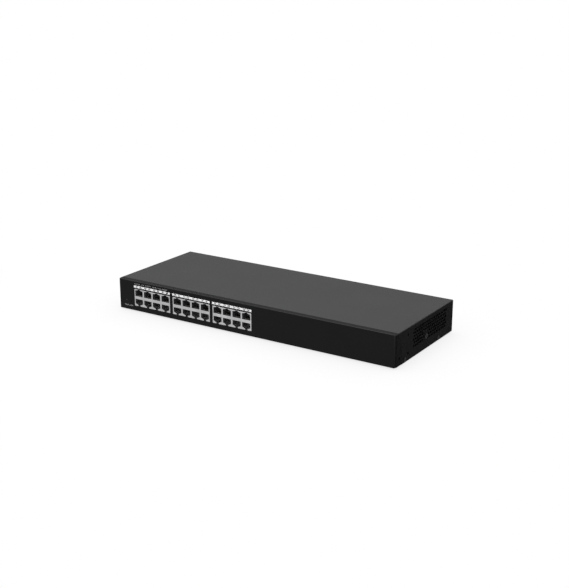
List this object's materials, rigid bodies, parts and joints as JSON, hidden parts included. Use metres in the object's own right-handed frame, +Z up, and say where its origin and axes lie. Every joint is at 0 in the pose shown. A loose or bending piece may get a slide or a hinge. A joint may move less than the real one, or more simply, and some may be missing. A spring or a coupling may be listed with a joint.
{
  "type": "network switch",
  "caption": "Flat rack-width network switch: folded steel case, moulded front bezel with stacked data jacks, side vents, rear mains inlet and a recessed reset button.",
  "frame": {"origin": "middle of the footprint, on the surface that the feet stand on", "axes": "+X to the right along the long side as seen from the front, -Y out of the front face, +Z up"},
  "size_m": [0.4438, 0.168, 0.046],
  "materials": {
    "cover_coat": "fine-textured powder coat",
    "bezel_plastic": "fine spark-eroded moulded texture",
    "label_white": "white label film",
    "tray_coat": "fine-textured powder coat",
    "rubber": "matt black",
    "black_screw": "black oxide",
    "bright_steel": "nickel-plated",
    "jack_plastic": "dark glass-filled plastic",
    "shield_nickel": "nickel-plated sheet",
    "contact_gold": "gold-plated",
    "light_pipe": "clear moulded",
    "dark_lens": "smoked lens",
    "lamp": "milky",
    "button_red": "moulded",
    "board_green": "solder mask",
    "board_tan": "paper laminate",
    "chip_black": "moulded epoxy",
    "sink_aluminium": "extruded",
    "can_sleeve": "shrink sleeve",
    "ferrite": "ferrite",
    "winding": "taped winding",
    "copper": "dark enamelled copper",
    "white_plastic": "moulded nylon",
    "insulator": "polyester film",
    "lead_sheath": "PVC",
    "earth_sheath": "PVC",
    "filter_yellow": "moulded box"
  },
  "bodies": {
    "case": {"front_bezel": "bezel_plastic", "port_strips": "label_white", "base_tray": "tray_coat", "top_cover": "cover_coat", "rubber_feet": "rubber", "cover_side_screws": "black_screw", "wall_screws": "black_screw", "cover_rear_screws": "black_screw", "jack_housing_left": "jack_plastic", "jack_housing_middle": "jack_plastic", "jack_housing_right": "jack_plastic", "jack_shield_left": "shield_nickel", "jack_shield_middle": "shield_nickel", "jack_shield_right": "shield_nickel", "jack_contacts_left": "contact_gold", "jack_contacts_middle": "contact_gold", "jack_contacts_right": "contact_gold", "light_pipe_left": "light_pipe", "light_pipe_middle": "light_pipe", "light_pipe_right": "light_pipe", "status_leds": "lamp", "power_light_pipe": "dark_lens", "reset_switch": "chip_black", "main_board": "board_green", "board_standoffs": "bright_steel", "board_screws": "bright_steel", "port_magnetics": "chip_black", "switch_chip": "chip_black", "switch_heatsink": "sink_aluminium", "phy_chips": "chip_black", "phy_heatsinks": "sink_aluminium", "memory_chips": "chip_black", "clock_crystals": "bright_steel", "board_capacitors": "can_sleeve", "board_inductors": "ferrite", "board_power_header": "white_plastic", "supply_board": "board_tan", "supply_standoffs": "bright_steel", "supply_screws": "bright_steel", "supply_insulator": "insulator", "transformer_core": "ferrite", "transformer_winding": "winding", "bulk_capacitor": "can_sleeve", "output_capacitors": "can_sleeve", "supply_heatsinks": "sink_aluminium", "power_transistors": "chip_black", "line_choke": "copper", "line_filter_capacitor": "filter_yellow", "line_fuse": "white_plastic", "supply_headers": "white_plastic", "supply_harness": "lead_sheath", "mains_leads": "lead_sheath", "earth_lead": "earth_sheath", "inlet_housing": "jack_plastic", "inlet_pins": "bright_steel", "inlet_screws": "black_screw", "ground_screw": "bright_steel", "ground_washer": "bright_steel"},
    "button": {"reset_button": "button_red"}
  },
  "joints": [
    {"name": "reset_press", "type": "slide", "parent": "case", "child": "button", "axis": [0, 1, 0], "range_m": [0, 0.0003], "stiffness_N_per_m": 2000}
  ]
}
